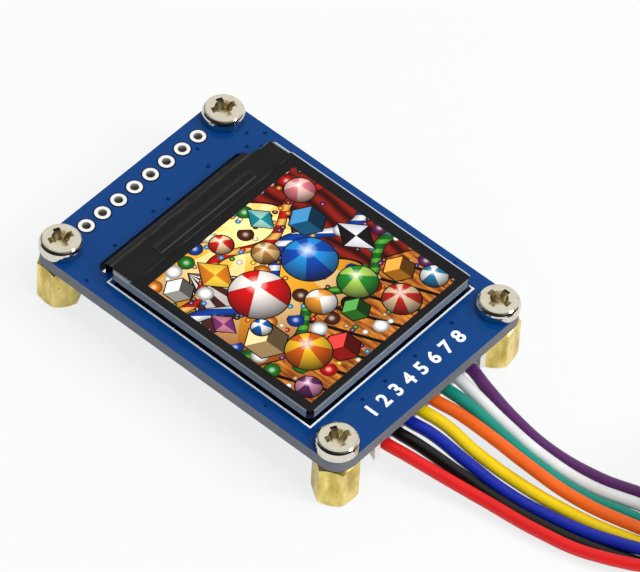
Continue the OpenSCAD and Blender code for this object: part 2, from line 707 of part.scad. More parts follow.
pcb();
header_pads();
corner_screws();
standoffs();
foam_tape();
backlight_frame();
reflector_sheet();
light_guide();
led_strip();
backlight_leds();
diffuser_film();
rim_tape();
rear_polariser();
rear_glass();
cell_seal();
picture_cell();
front_glass();
front_polariser();
driver_chip();
shield_tape();
flex_tail();
header_housing();
header_pins();
header_tabs();
plug_housing();
plug_contacts();
regulator();
transistor();
resistors();
capacitors();
for (i = [1 : wire_count]) wire(i);
for (i = [1 : wire_count]) socket(i);
socket_contacts();
wire_coil();
coil_tie();
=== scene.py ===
import math

import bpy
from mathutils import Matrix, Vector


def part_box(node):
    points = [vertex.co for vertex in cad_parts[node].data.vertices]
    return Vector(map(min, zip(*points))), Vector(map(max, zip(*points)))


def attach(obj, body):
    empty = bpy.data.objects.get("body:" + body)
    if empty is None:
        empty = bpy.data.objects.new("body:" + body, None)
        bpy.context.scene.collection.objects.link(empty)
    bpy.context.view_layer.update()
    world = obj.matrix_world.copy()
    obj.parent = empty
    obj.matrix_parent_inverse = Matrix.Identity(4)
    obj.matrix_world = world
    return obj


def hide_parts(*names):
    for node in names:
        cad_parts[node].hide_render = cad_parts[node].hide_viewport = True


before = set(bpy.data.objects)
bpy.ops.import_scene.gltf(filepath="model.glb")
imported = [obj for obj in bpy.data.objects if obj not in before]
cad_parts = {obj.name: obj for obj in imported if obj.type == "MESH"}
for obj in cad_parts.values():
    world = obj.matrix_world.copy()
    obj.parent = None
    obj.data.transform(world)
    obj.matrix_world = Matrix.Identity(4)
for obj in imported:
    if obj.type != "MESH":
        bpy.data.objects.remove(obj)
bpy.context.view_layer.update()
bpy.ops.object.select_all(action="DESELECT")


# ---- Camera ----
# A long lens looks down on the corner where the wires leave, from the board's left near side,
# and leans over by a few degrees.
AIM = Vector((0.0021, -0.0040, 0.0076))
DISTANCE = 0.6137
camera_turn = (Matrix.Rotation(math.radians(-51.03), 3, "Z")
               @ Matrix.Rotation(math.radians(90 - 49.69), 3, "X")
               @ Matrix.Rotation(math.radians(3.49), 3, "Z"))
bpy.ops.object.camera_add(location=AIM + camera_turn @ Vector((0, 0, DISTANCE)),
                          rotation=camera_turn.to_euler())
camera = bpy.context.object
camera.data.sensor_width = 36
camera.data.lens = 323.4
camera.data.clip_start = 0.01
bpy.context.scene.camera = camera
bpy.context.scene.view_settings.view_transform = "Standard"


# ---- Wires ----
# Eight stranded wires in soft PVC, 1.4 mm thick. They leave the plug side by side, sag to the
# floor, are wound together into two turns held by a rubber tie, and end in single sockets.
WIRE_D = 0.0014
CONTACT_PITCH = 0.002
CONTACT_Z = 0.004
ROW_MIDDLE = 3.5
PLUG_BACK = -0.0206
PLUG_DEPTH = 0.0015
PLUG_LEAD = 0.0006
SOCKET_BACK = -0.082
SOCKET_DEPTH = 0.002
SOCKET_LEAD = 0.0012
SOCKET_Z = 0.00127
COIL_X = 0.016
COIL_Y = -0.0575
COIL_R = 0.0084
COIL_TURNS = 2
COIL_RISE = 0.0049
COIL_START = 200
CLIMB_FROM = 0.35
FIRST_ROLL = 90
POINTS_A_TURN = 18
WIRES_ROUND = 7
RING_R = WIRE_D / (2 * math.sin(math.pi / WIRES_ROUND))
BUNDLE_R = RING_R + WIRE_D / 2

# Each wire's way from the plug to the coil
wire_lead = [
    [(-0.0064, -0.024, 0.0036), (-0.0052, -0.0285, 0.0025), (-0.0041, -0.0335, 0.0017),
     (-0.0032, -0.0395, 0.0014), (-0.0018, -0.0455, 0.0015), (0.0043, -0.0573, 0.0028)],
    [(-0.0045, -0.024, 0.0036), (-0.0036, -0.0285, 0.0023), (-0.0027, -0.0335, 0.0010),
     (-0.0019, -0.0395, 0.00085), (-0.0004, -0.0455, 0.00085), (0.0045, -0.0562, 0.00095)],
    [(-0.0024, -0.024, 0.0036), (-0.0019, -0.0285, 0.0023), (-0.0013, -0.0335, 0.0010),
     (-0.0004, -0.0395, 0.00085), (0.0010, -0.0455, 0.0013), (0.0047, -0.0549, 0.0024)],
    [(-0.0005, -0.024, 0.0036), (-0.0003, -0.0285, 0.0024), (0.0004, -0.0335, 0.0012),
     (0.0012, -0.0395, 0.00085), (0.0025, -0.0455, 0.00085), (0.0053, -0.0537, 0.00092)],
    [(0.0015, -0.024, 0.0038), (0.0017, -0.0285, 0.0035), (0.0019, -0.0335, 0.0028),
     (0.0025, -0.0395, 0.0019), (0.0038, -0.0455, 0.0017), (0.0055, -0.0527, 0.0026)],
    [(0.0031, -0.024, 0.0039), (0.0031, -0.0285, 0.0030), (0.0032, -0.0335, 0.0020),
     (0.0040, -0.0395, 0.00085), (0.0055, -0.0455, 0.00085), (0.0064, -0.0515, 0.00092)],
    [(0.0048, -0.024, 0.0036), (0.0046, -0.0285, 0.0026), (0.0047, -0.0335, 0.0016),
     (0.0055, -0.0395, 0.00092), (0.0071, -0.0455, 0.0012), (0.0069, -0.0508, 0.0027)],
    [(0.0064, -0.024, 0.0036), (0.0060, -0.0285, 0.0023), (0.0061, -0.0335, 0.0012),
     (0.0070, -0.0395, 0.00085), (0.0087, -0.0455, 0.00085), (0.0080, -0.0496, 0.0012)],
]
# Its way from the coil down to its socket, and the socket's place across
wire_tail = [
    [(0.0092, -0.0669, 0.0129), (0.0093, -0.0745, 0.0072)],
    [(0.0085, -0.0664, 0.0112), (0.0081, -0.0740, 0.0054)],
    [(0.0106, -0.0677, 0.0117), (0.0114, -0.0746, 0.0061)],
    [(0.0099, -0.0672, 0.0100), (0.0101, -0.0742, 0.0046)],
    [(0.0109, -0.0680, 0.0134), (0.0126, -0.0752, 0.0077)],
    [(0.0120, -0.0682, 0.0101), (0.0138, -0.0746, 0.0048)],
    [(0.0126, -0.0685, 0.0125), (0.0153, -0.0750, 0.0069)],
    [(0.0138, -0.0686, 0.0110), (0.0170, -0.0748, 0.0052)],
]
socket_x = [0.0068, 0.0041, 0.0122, 0.0095, 0.0149, 0.0176, 0.0203, 0.0230]
# Its place in the round bundle: the middle, or one of seven places round it
bundle_place = [1, 2, None, 3, 0, 4, 6, 5]
wire_colours = {
    "red": (0.74, 0.010, 0.010), "black": (0.004, 0.004, 0.0045), "blue": (0.004, 0.020, 0.36),
    "yellow": (0.90, 0.64, 0.002), "orange": (0.90, 0.13, 0.008), "green": (0.004, 0.27, 0.20),
    "white": (0.82, 0.82, 0.80), "purple": (0.095, 0.018, 0.12),
}


def coil_height(turns_done):
    """Height of the bundle's middle. Each turn lies flat at first, then climbs on the next."""
    whole = min(int(turns_done), COIL_TURNS - 1)
    part = max(0.0, (turns_done - whole - CLIMB_FROM) / (1 - CLIMB_FROM))
    return BUNDLE_R + COIL_RISE * (whole + part * part * (3 - 2 * part))


def coil_points(place):
    """One wire's points in the coil, as the bundle rolls over once in each turn."""
    points = []
    for step in range(COIL_TURNS * POINTS_A_TURN + 1):
        turns_done = step / POINTS_A_TURN
        angle = math.radians(COIL_START + 360 * turns_done)
        aside = up = 0.0
        if place is not None:
            roll = math.radians(FIRST_ROLL + place * 360 / WIRES_ROUND + 360 * turns_done)
            aside = RING_R * math.cos(roll)
            up = RING_R * math.sin(roll)
        radius = COIL_R - aside
        points.append((COIL_X + radius * math.cos(angle), COIL_Y + radius * math.sin(angle),
                       coil_height(turns_done) + up))
    return points


def new_finish(name, roughness=0.5, metallic=0.0, specular=0.5):
    """A Principled material, its node tree, its shader and its place on the object."""
    material = bpy.data.materials.new(name)
    material.use_nodes = True
    tree = material.node_tree
    shader = tree.nodes["Principled BSDF"]
    shader.inputs["Roughness"].default_value = roughness
    shader.inputs["Metallic"].default_value = metallic
    shader.inputs["Specular IOR Level"].default_value = specular
    place = tree.nodes.new("ShaderNodeTexCoord").outputs["Object"]
    return material, tree, shader, place


def noise(tree, place, scale, detail=3.0):
    cloud = tree.nodes.new("ShaderNodeTexNoise")
    cloud.inputs["Scale"].default_value = scale
    cloud.inputs["Detail"].default_value = detail
    tree.links.new(place, cloud.inputs["Vector"])
    return cloud.outputs["Fac"]


def mixed(tree, share, first, second):
    """The first colour where share is 0 and the second where it is 1, as colours or sockets."""
    mix = tree.nodes.new("ShaderNodeMix")
    mix.data_type = "RGBA"
    for name, colour in (("A", first), ("B", second)):
        if isinstance(colour, tuple):
            mix.inputs[name].default_value = (*colour, 1)
        else:
            tree.links.new(colour, mix.inputs[name])
    tree.links.new(share, mix.inputs["Factor"])
    return mix.outputs["Result"]


def coloured(tree, shader, share, first, second):
    tree.links.new(mixed(tree, share, first, second), shader.inputs["Base Color"])


def roughen(tree, shader, height, strength, distance):
    bump = tree.nodes.new("ShaderNodeBump")
    bump.inputs["Strength"].default_value = strength
    bump.inputs["Distance"].default_value = distance
    tree.links.new(height, bump.inputs["Height"])
    tree.links.new(bump.outputs["Normal"], shader.inputs["Normal"])


def wire_pvc(name, colour):
    material, tree, shader, place = new_finish("wire " + name, 0.32, specular=0.35)
    coloured(tree, shader, noise(tree, place, 420), tuple(c * 0.86 for c in colour),
             tuple(min(1, c * 1.08) for c in colour))
    roughen(tree, shader, noise(tree, place, 2600), 0.12, 0.00004)
    return material


def set_in_place(piece):
    bpy.ops.object.select_all(action="DESELECT")
    piece.select_set(True)
    bpy.context.view_layer.objects.active = piece
    bpy.ops.object.transform_apply(location=True, rotation=True, scale=True)


def finish_piece(piece, name, material, smooth=None):
    """Its place goes into its mesh, and it gets its name, material and record slot."""
    set_in_place(piece)
    piece.name = name
    piece.data.name = name
    piece.data.materials.clear()
    piece.data.materials.append(material)
    if smooth is not None:
        bpy.ops.object.shade_smooth_by_angle(angle=math.radians(smooth))
    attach(piece, "root")


# The tie is a soft black band, closed into a ring and pulled tight round both turns
TIE_T = 0.0005
TIE_W = 0.0028
TIE_ANGLE = 95
turn_heights = [coil_height(((TIE_ANGLE - COIL_START) % 360) / 360 + turn)
                for turn in range(COIL_TURNS)]
rubber, tree, shader, place = new_finish("tie rubber", 0.6, specular=0.3)
ribs = noise(tree, place, 2400)
coloured(tree, shader, ribs, (0.007, 0.007, 0.008), (0.018, 0.018, 0.019))
roughen(tree, shader, ribs, 0.2, 0.00004)
bpy.ops.object.select_all(action="DESELECT")
bpy.ops.mesh.primitive_cylinder_add(vertices=42, radius=BUNDLE_R + TIE_T / 2, depth=TIE_W,
                                    end_fill_type="NOTHING", rotation=(0, math.pi / 2, 0))
band = bpy.context.object
set_in_place(band)
for side in (-1, 1):
    bpy.ops.object.mode_set(mode="EDIT")
    bpy.ops.mesh.select_mode(type="VERT")
    bpy.ops.mesh.select_all(action="DESELECT")
    bpy.ops.object.mode_set(mode="OBJECT")
    for vertex in band.data.vertices:
        vertex.select = vertex.co.z * side > 0
    bpy.ops.object.mode_set(mode="EDIT")
    bpy.ops.transform.translate(value=(0, 0, side * (turn_heights[-1] - turn_heights[0]) / 2))
    bpy.ops.object.mode_set(mode="OBJECT")
band.rotation_euler = (0, 0, math.radians(TIE_ANGLE - 90))
band.location = (COIL_X + COIL_R * math.cos(math.radians(TIE_ANGLE)),
                 COIL_Y + COIL_R * math.sin(math.radians(TIE_ANGLE)),
                 sum(turn_heights) / COIL_TURNS)
thickness = band.modifiers.new("thickness", "SOLIDIFY")
thickness.thickness = TIE_T
thickness.offset = 0
edges = band.modifiers.new("edges", "BEVEL")
edges.width = TIE_T * 0.3
edges.segments = 2
edges.limit_method = "ANGLE"
bpy.ops.object.modifier_apply(modifier="thickness")
bpy.ops.object.modifier_apply(modifier="edges")
finish_piece(band, "coil_band", rubber, smooth=40)
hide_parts("coil_tie")

for i, (name, colour) in enumerate(wire_colours.items()):
    x = (i - ROW_MIDDLE) * CONTACT_PITCH
    route = [(x, PLUG_BACK + PLUG_DEPTH, CONTACT_Z), (x, PLUG_BACK - PLUG_LEAD, CONTACT_Z),
             *wire_lead[i], *coil_points(bundle_place[i]), *wire_tail[i],
             (socket_x[i], SOCKET_BACK + SOCKET_LEAD, SOCKET_Z),
             (socket_x[i], SOCKET_BACK - SOCKET_DEPTH, SOCKET_Z)]
    shape = bpy.data.curves.new("wire_" + name, "CURVE")
    shape.dimensions = "3D"
    shape.bevel_depth = WIRE_D / 2
    shape.bevel_resolution = 4
    shape.resolution_u = 6
    shape.use_fill_caps = True
    spline = shape.splines.new("BEZIER")
    spline.bezier_points.add(len(route) - 1)
    for point, spot in zip(spline.bezier_points, route):
        point.co = spot
        point.handle_left_type = "AUTO"
        point.handle_right_type = "AUTO"
    wire = bpy.data.objects.new("wire_" + name, shape)
    bpy.context.collection.objects.link(wire)
    shape.materials.append(wire_pvc(name, colour))
    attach(wire, "root")
    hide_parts(f"wire_{i + 1}", "wire_coil")


# ---- Circuit board ----
# Glass cloth laminate under a glossy blue mask, with bare grey edges. The mask stands back
# from each plated hole, and a painted shadow darkens it inside the printed frame, round the panel.
board_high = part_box("pcb")[1]
BOARD_TOP = board_high.z
PADS = 8
PAD_PITCH = 0.00254
SPARE_PITCHES = 12
PAD_Y = board_high.y - 0.00225
PAD_R = 0.00094
BORE_R = 0.0005
MASK_GAP_R = 0.00104
MASK_GAP = (0.001, 0.006, 0.028)
# The flex's slot, from left to right and from near to far. Its walls get painted shade.
SLOT = (-0.0126, 0.0107, 0.0132, 0.0153)
# The printed frame: half its width, and its near and far lines
PRINT_X = 0.01321
PRINT_Y = (-0.01625, 0.01288)
# How far short of the frame's far line the painted shadow stops
PAINTED_SHADOW_SHORT = 0.0008


def dress(material, *nodes):
    for node in nodes:
        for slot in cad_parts[node].material_slots:
            slot.material = material


def reckoned(tree, operation, *values):
    """One Math node; each value is a number or a socket."""
    step = tree.nodes.new("ShaderNodeMath")
    step.operation = operation
    for socket, value in zip(step.inputs, values):
        if isinstance(value, (int, float)):
            socket.default_value = value
        else:
            tree.links.new(value, socket)
    return step.outputs[0]


def hypotenuse(tree, across, along):
    """How far a point is, from how far it is across and along."""
    return reckoned(tree, "SQRT", reckoned(
        tree, "ADD", reckoned(tree, "MULTIPLY", across, across),
        reckoned(tree, "MULTIPLY", along, along)))


def stretched(tree, place, scale):
    mapping = tree.nodes.new("ShaderNodeMapping")
    mapping.inputs["Scale"].default_value = scale
    tree.links.new(place, mapping.inputs["Vector"])
    return mapping.outputs["Vector"]


def ramped(tree, value, low, high, out_low=0.0, out_high=1.0):
    ramp = tree.nodes.new("ShaderNodeMapRange")
    limits = {"From Min": low, "From Max": high, "To Min": out_low, "To Max": out_high}
    for name, limit in limits.items():
        ramp.inputs[name].default_value = limit
    tree.links.new(value, ramp.inputs["Value"])
    return ramp.outputs["Result"]


def axes(tree, place):
    split = tree.nodes.new("ShaderNodeSeparateXYZ")
    tree.links.new(place, split.inputs["Vector"])
    return tuple(split.outputs)


def upwards(tree):
    """1 where the surface faces up, 0 on a side and -1 where it faces down."""
    return axes(tree, tree.nodes.new("ShaderNodeTexCoord").outputs["Normal"])[2]


def inside(tree, x, y, x0, x1, y0, y1, soft):
    """1 in a rectangle, falling to 0 over a soft margin outside it."""
    from_x = reckoned(tree, "ABSOLUTE", reckoned(tree, "SUBTRACT", x, (x0 + x1) / 2))
    from_y = reckoned(tree, "ABSOLUTE", reckoned(tree, "SUBTRACT", y, (y0 + y1) / 2))
    in_x = ramped(tree, from_x, (x1 - x0) / 2, (x1 - x0) / 2 + soft, 1, 0)
    in_y = ramped(tree, from_y, (y1 - y0) / 2, (y1 - y0) / 2 + soft, 1, 0)
    return reckoned(tree, "MULTIPLY", in_x, in_y)


def from_pad(tree, x, y):
    """Distance from the middle of the nearest plated hole, as if the row went on for ever."""
    # Whole pitches are added, because the remainder is taken of what is above zero
    above_zero = reckoned(tree, "ADD", x, SPARE_PITCHES * PAD_PITCH)
    along_row = reckoned(tree, "MODULO", above_zero, PAD_PITCH)
    return hypotenuse(tree, reckoned(tree, "SUBTRACT", along_row, PAD_PITCH / 2),
                      reckoned(tree, "SUBTRACT", y, PAD_Y))


mask, tree, shader, place = new_finish("blue mask", specular=0.13)
x, y = axes(tree, place)[:2]
skin = mixed(tree, noise(tree, place, 260, 4), (0.0012, 0.044, 0.200), (0.0022, 0.054, 0.228))
# Painted shadow: the mask is painted near black inside the printed frame, as the panel's shade
panel_shadow = inside(tree, x, y, -PRINT_X, PRINT_X, PRINT_Y[0], PRINT_Y[1] - PAINTED_SHADOW_SHORT, 0.00003)
skin = mixed(tree, panel_shadow, skin, (0.0004, 0.0025, 0.010))
in_row = reckoned(tree, "LESS_THAN", reckoned(tree, "ABSOLUTE", x), PADS / 2 * PAD_PITCH)
in_gap = ramped(tree, from_pad(tree, x, y), MASK_GAP_R, MASK_GAP_R + 0.00006, 1, 0)
skin = mixed(tree, reckoned(tree, "MULTIPLY", in_gap, in_row), skin, MASK_GAP)
cloth = noise(tree, stretched(tree, place, (1, 1, 9)), 900, 2)
edge = mixed(tree, cloth, (0.13, 0.14, 0.16), (0.22, 0.23, 0.255))
# Painted shade: the board's sides inside the slot are painted near black
edge = mixed(tree, inside(tree, x, y, *SLOT, 0.0001), edge, (0.002, 0.004, 0.012))
on_side = ramped(tree, reckoned(tree, "ABSOLUTE", upwards(tree)), 0.4, 0.6, 1, 0)
coloured(tree, shader, on_side, skin, edge)
tree.links.new(ramped(tree, on_side, 0, 1, 0.16, 0.7), shader.inputs["Roughness"])
roughen(tree, shader, noise(tree, place, 700, 2), 0.05, 0.00005)
dress(mask, "pcb")

# The plated holes have rings of hot tin, brighter on their rims than in their bores, which get
# painted shade, darker with depth.
tin, tree, shader, place = new_finish("hot tin", 0.32, metallic=0.35)
x, y, z = axes(tree, place)
away = from_pad(tree, x, y)
flecks = noise(tree, place, 3000, 2)
ring = mixed(tree, flecks, (0.90, 0.90, 0.88), (0.97, 0.97, 0.96))
# Painted shade: the bore's tin is painted darker the deeper it goes
depth = ramped(tree, z, BOARD_TOP - 0.00055, BOARD_TOP - 0.00005)
shaded_bore = mixed(tree, depth, (0.10, 0.095, 0.07), (0.66, 0.64, 0.56))
metal = mixed(tree, ramped(tree, away, BORE_R + 0.00001, BORE_R + 0.00006, 1, 0), ring, shaded_bore)
coloured(tree, shader, ramped(tree, away, PAD_R - 0.00007, PAD_R - 0.00003), metal, MASK_GAP)
roughen(tree, shader, flecks, 0.2, 0.00005)
dress(tin, "header_pads")


# ---- Print and vias ----
# White silk-screened ink on the mask: a thin frame round the panel, and the numbers of the
# connector's pins along the near edge. The vias are small dimples, closed by the mask.
INK_T = 0.00003
LINE_W = 0.00022
NUMBER_H = 0.00165
NUMBER_Y = -0.0201
NUMBER_BOLD = 0.00007
FIGURE_SHARE = 0.7
VIA_R = 0.00023
VIAS = [(0.01431, 0.01489), (0.01293, 0.01634), (0.01148, 0.01504), (0.01261, 0.01385),
        (0.00752, 0.01867), (0.00643, 0.01614), (0.0, 0.01608), (-0.00242, 0.01604),
        (-0.00881, 0.01573), (-0.01449, 0.01456), (-0.0065, -0.0176), (0.0145, -0.01236),
        (0.0079, -0.01758), (0.0132, -0.01566), (-0.00297, -0.01768), (0.00179, -0.01773),
        (-0.01412, -0.01081)]

ink, tree, shader, place = new_finish("white ink", 0.55)
coloured(tree, shader, noise(tree, place, 2500), (0.88, 0.92, 0.96), (0.96, 0.98, 1.0))
roughen(tree, shader, noise(tree, place, 4000), 0.15, 0.00003)

bpy.ops.mesh.primitive_plane_add(size=1, location=(0, sum(PRINT_Y) / 2, BOARD_TOP + INK_T))
outline = bpy.context.object
outline.scale = (2 * PRINT_X, PRINT_Y[1] - PRINT_Y[0], 1)
set_in_place(outline)
bpy.ops.object.mode_set(mode="EDIT")
bpy.ops.mesh.select_all(action="SELECT")
bpy.ops.mesh.inset(thickness=LINE_W, depth=0)
bpy.ops.mesh.delete(type="FACE")
bpy.ops.mesh.select_all(action="SELECT")
bpy.ops.mesh.extrude_region_move(TRANSFORM_OT_translate={"value": (0, 0, -INK_T)})
bpy.ops.object.mode_set(mode="OBJECT")
finish_piece(outline, "print_frame", ink)

numbers = []
for i in range(PADS):
    bpy.ops.object.text_add(location=((i - ROW_MIDDLE) * CONTACT_PITCH, NUMBER_Y, BOARD_TOP))
    number = bpy.context.object
    number.data.body = str(i + 1)
    number.data.align_x = "CENTER"
    number.data.size = NUMBER_H / FIGURE_SHARE
    number.data.offset = NUMBER_BOLD
    number.data.extrude = INK_T / 2
    number.data.resolution_u = 3
    bpy.ops.object.convert(target="MESH")
    numbers.append(bpy.context.object)
bpy.ops.object.select_all(action="DESELECT")
for number in numbers:
    number.select_set(True)
bpy.context.view_layer.objects.active = numbers[0]
bpy.ops.object.join()
finish_piece(bpy.context.object, "print_numbers", ink)

dimple, tree, shader, place = new_finish("masked via", 0.6, specular=0.03)
coloured(tree, shader, noise(tree, place, 5000), (0.0006, 0.018, 0.085), (0.0016, 0.030, 0.13))
bpy.ops.mesh.primitive_circle_add(vertices=14, radius=VIA_R, fill_type="NGON",
                                  location=(*VIAS[0], BOARD_TOP + INK_T))
vias = bpy.context.object
set_in_place(vias)
bpy.ops.object.mode_set(mode="EDIT")
bpy.ops.mesh.select_all(action="SELECT")
bpy.ops.mesh.inset(thickness=VIA_R * 0.35, depth=0)
bpy.ops.mesh.inset(thickness=VIA_R * 0.3, depth=-INK_T * 0.9)
bpy.ops.mesh.select_all(action="SELECT")
for spot, last in zip(VIAS[1:], VIAS):
    bpy.ops.mesh.duplicate_move(
        TRANSFORM_OT_translate={"value": (spot[0] - last[0], spot[1] - last[1], 0)})
bpy.ops.object.mode_set(mode="OBJECT")
finish_piece(vias, "vias", dimple, smooth=40)


# ---- Screws and standoffs ----
# Nickel-plated pan heads with a stamped cross recess, on turned brass hexagons. The plating
# keeps fine turning marks, and the brass is dull and blotchy where hands have touched it.
SCREW_INSET = 0.0023
HEAD_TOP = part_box("corner_screws")[1].z
RECESS_R = 0.0016
TURNING_MARKS = 120000.0


def polished(tree, shader, share, first, second):
    """Roughness goes from the first to the second as share rises through its middle."""
    tree.links.new(ramped(tree, share, 0.3, 0.7, first, second), shader.inputs["Roughness"])


def from_corner(tree, x, y):
    """Distance from the middle of the nearest corner hole."""
    return hypotenuse(
        tree, reckoned(tree, "SUBTRACT", reckoned(tree, "ABSOLUTE", x), board_high.x - SCREW_INSET),
        reckoned(tree, "SUBTRACT", reckoned(tree, "ABSOLUTE", y), board_high.y - SCREW_INSET))


nickel, tree, shader, place = new_finish("nickel plate", metallic=1.0)
x, y, z = axes(tree, place)
radius = from_corner(tree, x, y)
worn = noise(tree, place, 1500, 4)
plate = mixed(tree, ramped(tree, worn, 0.3, 0.7), (0.78, 0.74, 0.65), (0.66, 0.61, 0.51))
plate = mixed(tree, ramped(tree, radius, 0.0012, 0.0021), (0.70, 0.65, 0.54), plate)
pit = mixed(tree, ramped(tree, worn, 0.35, 0.65), (0.40, 0.33, 0.18), (0.93, 0.86, 0.65))
in_recess = reckoned(
    tree, "MULTIPLY", ramped(tree, radius, RECESS_R - 0.00002, RECESS_R + 0.00002, 1, 0),
    ramped(tree, z, HEAD_TOP - 0.0003, HEAD_TOP - 0.00018, 1, 0))
coloured(tree, shader, in_recess, plate, pit)
tree.links.new(ramped(tree, in_recess, 0, 1, 0.1, 0.3), shader.inputs["Roughness"])
marks = reckoned(tree, "SINE", reckoned(tree, "MULTIPLY", radius, TURNING_MARKS))
roughen(tree, shader, reckoned(tree, "ADD", marks, worn), 0.02, 0.00001)
dress(nickel, "corner_screws")

brass, tree, shader, place = new_finish("turned brass", metallic=1.0)
blotch = noise(tree, stretched(tree, place, (1, 1, 0.4)), 700, 4)
metal = mixed(tree, ramped(tree, blotch, 0.36, 0.64), (0.56, 0.40, 0.085), (0.96, 0.78, 0.27))
specks = ramped(tree, noise(tree, place, 2600, 2), 0.68, 0.76)
coloured(tree, shader, specks, metal, (0.36, 0.25, 0.07))
polished(tree, shader, blotch, 0.36, 0.26)
drawn = noise(tree, stretched(tree, place, (1, 1, 0.04)), 3400)
roughen(tree, shader, drawn, 0.04, 0.00002)
dress(brass, "standoffs")


# ---- Backlight and glass ----
# Two sheets of glass lie on a grey moulded frame, with black tape round their corners. In the
# frame are the reflector, light guide, lamps and films, and it stands on a pad of black foam.
panel_low, panel_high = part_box("rear_glass")
CORNER_WRAP = 0.0006
WRAP_BLACK = (0.004, 0.004, 0.005)
GLASS_GAP_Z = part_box("front_glass")[0].z
# Painted highlight: the far long edge is painted pale, where it would catch the light
PAINTED_FAR_HIGHLIGHT = (0.50, 0.54, 0.62)
# The glass top's painted far highlight starts here
FAR_GLASS_X = 0.01278


def in_corner(tree, x, y):
    """1 near the panel's corners, where the black tape goes round."""
    middle = (panel_low.y + panel_high.y) / 2
    from_x = reckoned(tree, "SUBTRACT", panel_high.x, reckoned(tree, "ABSOLUTE", x))
    from_y = reckoned(tree, "SUBTRACT", panel_high.y - middle,
                      reckoned(tree, "ABSOLUTE", reckoned(tree, "SUBTRACT", y, middle)))
    return ramped(tree, reckoned(tree, "ADD", from_x, from_y), CORNER_WRAP, CORNER_WRAP + 0.00004,
                  1, 0)


glass, tree, shader, place = new_finish("ground glass edge", 0.2)
x, y, z = axes(tree, place)
streaks = noise(tree, stretched(tree, place, (1, 1, 6)), 1400, 2)
ground = mixed(tree, streaks, (0.26, 0.29, 0.31), (0.44, 0.48, 0.51))
# Painted light: the edge below the gap between the sheets is painted darker than the top sheet's
# edge
ground = mixed(tree, ramped(tree, z, GLASS_GAP_Z - 0.0001, GLASS_GAP_Z), (0.19, 0.21, 0.23), ground)
# Painted highlight: the glass top is painted pale along the far long edge
rim = mixed(tree, ramped(tree, x, FAR_GLASS_X, FAR_GLASS_X + 0.00003), (0.19, 0.21, 0.24), PAINTED_FAR_HIGHLIGHT)
ground = mixed(tree, ramped(tree, upwards(tree), 0.4, 0.6), ground, rim)
coloured(tree, shader, in_corner(tree, x, y), ground, WRAP_BLACK)
dress(glass, "rear_glass", "front_glass")

moulded, tree, shader, place = new_finish("frosted frame", 0.35)
x, y = axes(tree, place)[:2]
frosted = mixed(tree, noise(tree, place, 900, 2), (0.15, 0.18, 0.23), (0.25, 0.29, 0.35))
coloured(tree, shader, in_corner(tree, x, y), frosted, WRAP_BLACK)
roughen(tree, shader, noise(tree, place, 3000), 0.1, 0.00003)
dress(moulded, "backlight_frame")

black_tape, tree, shader, place = new_finish("black tape", specular=0.16)
grain = noise(tree, place, 1800)
coloured(tree, shader, grain, (0.0040, 0.0040, 0.0045), (0.0078, 0.0078, 0.0082))
polished(tree, shader, grain, 0.26, 0.4)
roughen(tree, shader, grain, 0.12, 0.00004)
dress(black_tape, "rim_tape", "cell_seal")

foam, tree, shader, place = new_finish("black foam", 0.95)
cells = tree.nodes.new("ShaderNodeTexVoronoi")
cells.inputs["Scale"].default_value = 6000
tree.links.new(place, cells.inputs["Vector"])
coloured(tree, shader, cells.outputs["Distance"], (0.003, 0.003, 0.003), (0.012, 0.012, 0.012))
roughen(tree, shader, cells.outputs["Distance"], 0.5, 0.0001)
dress(foam, "foam_tape")

white_film, tree, shader, place = new_finish("white film", 0.4)
coloured(tree, shader, noise(tree, place, 300), (0.82, 0.82, 0.80), (0.90, 0.90, 0.88))
dress(white_film, "reflector_sheet", "diffuser_film")

clear_guide, tree, shader, place = new_finish("light guide", 0.1)
dots = tree.nodes.new("ShaderNodeTexVoronoi")
dots.inputs["Scale"].default_value = 2200
tree.links.new(place, dots.inputs["Vector"])
coloured(tree, shader, ramped(tree, dots.outputs["Distance"], 0.2, 0.3), (0.95, 0.95, 0.95),
         (0.78, 0.84, 0.88))
dress(clear_guide, "light_guide")

lamp_gel, tree, shader, place = new_finish("lamp gel", 0.25)
coloured(tree, shader, noise(tree, place, 1200), (0.78, 0.62, 0.16), (0.86, 0.76, 0.36))
dress(lamp_gel, "backlight_leds")

amber_strip, tree, shader, place = new_finish("amber strip", 0.4)
tracks = noise(tree, stretched(tree, place, (1, 12, 1)), 500)
coloured(tree, shader, tracks, (0.34, 0.16, 0.04), (0.48, 0.26, 0.08))
dress(amber_strip, "led_strip")

grey_film, tree, shader, place = new_finish("grey film", 0.3)
coloured(tree, shader, noise(tree, place, 500), (0.025, 0.028, 0.03), (0.04, 0.043, 0.047))
dress(grey_film, "rear_polariser")


# ---- Screen ----
# The front polariser is glossy film over a black border and the lit picture: balls, toy
# blocks, kites, beads and ribbons, before a sunburst, a striped tent, hangings and planks.
PICTURE_X = -0.00025
PICTURE_Y = -0.00345
PICTURE_HALF = 0.0116
MM_A_METRE = 1000
# The film's painted far highlight starts here
FAR_FILM_X = 0.01273
OUTLINE = (0.007, 0.002, 0.002)
GLEAM = (0.95, 0.93, 0.88)

screen, tree, shader, place = new_finish("lit screen", 0.1, specular=0.08)
centred = tree.nodes.new("ShaderNodeMapping")
centred.inputs["Location"].default_value = (-PICTURE_X * MM_A_METRE, -PICTURE_Y * MM_A_METRE, 0)
centred.inputs["Scale"].default_value = (MM_A_METRE, MM_A_METRE, 0)
tree.links.new(place, centred.inputs["Vector"])
canvas = centred.outputs["Vector"]
# Right and up from the picture's middle, in mm
u, v = axes(tree, canvas)[:2]


def away_from(tree, u, v, middle):
    return reckoned(tree, "SUBTRACT", u, middle[0]), reckoned(tree, "SUBTRACT", v, middle[1])


def wave(tree, value, rate, shift=0):
    return reckoned(tree, "SINE", reckoned(tree, "ADD", reckoned(tree, "MULTIPLY", value, rate),
                                           shift))


